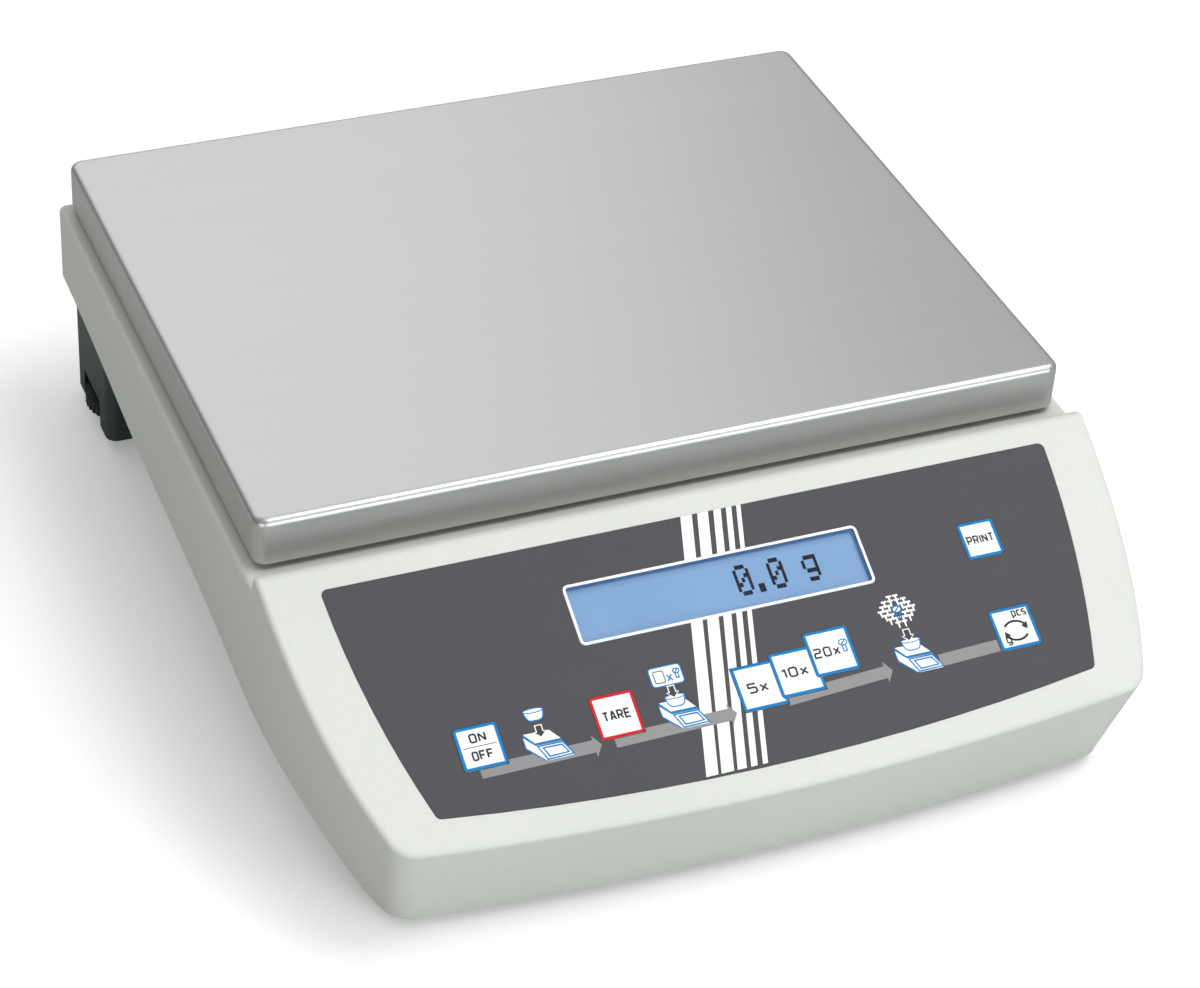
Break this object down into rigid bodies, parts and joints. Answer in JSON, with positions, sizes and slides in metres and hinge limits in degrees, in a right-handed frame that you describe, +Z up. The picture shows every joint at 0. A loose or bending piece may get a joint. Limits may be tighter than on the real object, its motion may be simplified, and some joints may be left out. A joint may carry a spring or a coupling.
{
  "type": "counting scale",
  "caption": "Bench counting scale: low grey housing with a sloped keypad and display, a wide steel weighing pan on a load cell, and screw feet at the corners.",
  "frame": {"origin": "middle of the footprint at floor level", "axes": "+Z up, +X to the reader's right, the display and keys face -Y"},
  "size_m": [0.35, 0.396, 0.12],
  "materials": {
    "housing": "fine-grained moulded plastic, warm light grey",
    "base_metal": "dark blue-grey powder coat on a casting",
    "overlay": "satin printed foil, dark grey",
    "keypad_film": "clear polyester film with printed tracks",
    "window": "clear polished window",
    "lcd": "blue backlit display",
    "display_frame": "tinned sheet steel",
    "backlight": "milky light guide",
    "circuit_board": "green solder mask",
    "fasteners": "zinc-plated steel",
    "pan_steel": "brushed stainless steel",
    "rubber": "black rubber",
    "cast_alloy": "as-cast alloy",
    "machined_alloy": "machined alloy",
    "black_bolts": "black-oxide steel",
    "potting": "white silicone",
    "battery_case": "moulded battery case",
    "black_plastic": "black moulded plastic",
    "components": "black component bodies",
    "connector_metal": "nickel-plated steel shell",
    "level_cup": "polished brass cup",
    "level_lens": "clear glass",
    "level_liquid": "green-yellow liquid with its bubble",
    "cable_jacket": "black cable jacket",
    "ribbon": "grey flat cable",
    "key_face": "white printed key face",
    "foot_wheel": "black knurled wheel"
  },
  "bodies": {
    "base": {"top_housing": "housing", "base_tray": "base_metal", "housing_screws": "fasteners", "panel_overlay": "overlay", "keypad_spacer": "keypad_film", "keypad_circuit": "keypad_film", "display_window": "window", "lcd_glass": "lcd", "lcd_frame": "display_frame", "lcd_backlight": "backlight", "display_board": "circuit_board", "display_screws": "fasteners", "load_cell": "machined_alloy", "cell_mount_block": "machined_alloy", "cell_bolts_lower": "black_bolts", "gauge_covers": "potting", "overload_stop": "fasteners", "battery_pack": "battery_case", "main_board": "circuit_board", "main_board_parts": "components", "converter_shield": "display_frame", "board_screws": "fasteners", "serial_connector": "connector_metal", "serial_jackscrews": "fasteners", "power_socket": "black_plastic", "level_body": "level_cup", "level_glass": "level_lens", "level_bubble": "level_liquid", "cell_cable": "cable_jacket", "ribbon_cable": "ribbon"},
    "weigh_platform": {"carrier_hub": "machined_alloy", "cell_bolts_upper": "black_bolts", "pan_carrier": "cast_alloy", "pan_buffers": "rubber"},
    "pan": {"weighing_pan": "pan_steel", "pan_locators": "pan_steel"},
    "battery_hatch": {"battery_cover": "black_plastic", "battery_cover_screw": "fasteners"},
    "key_on_off_cap": {"key_on_off": "key_face"},
    "key_tare_cap": {"key_tare": "key_face"},
    "key_count_5x_cap": {"key_count_5x": "key_face"},
    "key_count_10x_cap": {"key_count_10x": "key_face"},
    "key_count_20x_cap": {"key_count_20x": "key_face"},
    "key_print_cap": {"key_print": "key_face"},
    "key_unit_toggle_cap": {"key_unit_toggle": "key_face"},
    "foot_rear_left": {"foot_pad_rear_left": "rubber"},
    "foot_screw_rear_left": {"foot_wheel_rear_left": "foot_wheel"},
    "foot_rear_right": {"foot_pad_rear_right": "rubber"},
    "foot_screw_rear_right": {"foot_wheel_rear_right": "foot_wheel"},
    "foot_front_left": {"foot_pad_front_left": "rubber"},
    "foot_screw_front_left": {"foot_wheel_front_left": "foot_wheel"},
    "foot_front_right": {"foot_pad_front_right": "rubber"},
    "foot_screw_front_right": {"foot_wheel_front_right": "foot_wheel"}
  },
  "joints": [
    {"name": "platform_deflection", "type": "slide", "parent": "base", "child": "weigh_platform", "axis": [0, 0, -1], "range_m": [0, 0.0005], "stiffness_N_per_m": 120000},
    {"name": "pan_lift_off", "type": "slide", "parent": "weigh_platform", "child": "pan", "axis": [0, 0, 1], "range_m": [0, 0.12]},
    {"name": "battery_hatch_off", "type": "slide", "parent": "base", "child": "battery_hatch", "axis": [0, 0, -1], "range_m": [0, 0.015]},
    {"name": "key_on_off_press", "type": "slide", "parent": "base", "child": "key_on_off_cap", "axis": [0, 0.4493, -0.8934], "range_m": [0, 0.0003], "stiffness_N_per_m": 3000},
    {"name": "key_tare_press", "type": "slide", "parent": "base", "child": "key_tare_cap", "axis": [0, 0.4493, -0.8934], "range_m": [0, 0.0003], "stiffness_N_per_m": 3000},
    {"name": "key_count_5x_press", "type": "slide", "parent": "base", "child": "key_count_5x_cap", "axis": [0, 0.4493, -0.8934], "range_m": [0, 0.0003], "stiffness_N_per_m": 3000},
    {"name": "key_count_10x_press", "type": "slide", "parent": "base", "child": "key_count_10x_cap", "axis": [0, 0.4493, -0.8934], "range_m": [0, 0.0003], "stiffness_N_per_m": 3000},
    {"name": "key_count_20x_press", "type": "slide", "parent": "base", "child": "key_count_20x_cap", "axis": [0, 0.4493, -0.8934], "range_m": [0, 0.0003], "stiffness_N_per_m": 3000},
    {"name": "key_print_press", "type": "slide", "parent": "base", "child": "key_print_cap", "axis": [0, 0.4493, -0.8934], "range_m": [0, 0.0003], "stiffness_N_per_m": 3000},
    {"name": "key_unit_toggle_press", "type": "slide", "parent": "base", "child": "key_unit_toggle_cap", "axis": [0, 0.4493, -0.8934], "range_m": [0, 0.0003], "stiffness_N_per_m": 3000},
    {"name": "foot_height_rear_left", "type": "slide", "parent": "base", "child": "foot_rear_left", "axis": [0, 0, -1], "range_m": [-0.00252, 0.00252]},
    {"name": "foot_turn_rear_left", "type": "hinge", "parent": "foot_rear_left", "child": "foot_screw_rear_left", "pos_m": [-0.155, 0.171, 0], "axis": [0, 0, 1], "range_deg": [-720, 720]},
    {"name": "foot_height_rear_right", "type": "slide", "parent": "base", "child": "foot_rear_right", "axis": [0, 0, -1], "range_m": [-0.00252, 0.00252]},
    {"name": "foot_turn_rear_right", "type": "hinge", "parent": "foot_rear_right", "child": "foot_screw_rear_right", "pos_m": [0.155, 0.171, 0], "axis": [0, 0, 1], "range_deg": [-720, 720]},
    {"name": "foot_height_front_left", "type": "slide", "parent": "base", "child": "foot_front_left", "axis": [0, 0, -1], "range_m": [-0.00252, 0.00252]},
    {"name": "foot_turn_front_left", "type": "hinge", "parent": "foot_front_left", "child": "foot_screw_front_left", "pos_m": [-0.118, -0.136, 0], "axis": [0, 0, 1], "range_deg": [-720, 720]},
    {"name": "foot_height_front_right", "type": "slide", "parent": "base", "child": "foot_front_right", "axis": [0, 0, -1], "range_m": [-0.00252, 0.00252]},
    {"name": "foot_turn_front_right", "type": "hinge", "parent": "foot_front_right", "child": "foot_screw_front_right", "pos_m": [0.118, -0.136, 0], "axis": [0, 0, 1], "range_deg": [-720, 720]}
  ],
  "couplings": [
    {"joint": "foot_height_rear_left", "follows": "foot_turn_rear_left", "m_per_rad": 0.00019894},
    {"joint": "foot_height_rear_right", "follows": "foot_turn_rear_right", "m_per_rad": 0.00019894},
    {"joint": "foot_height_front_left", "follows": "foot_turn_front_left", "m_per_rad": 0.00019894},
    {"joint": "foot_height_front_right", "follows": "foot_turn_front_right", "m_per_rad": 0.00019894}
  ]
}
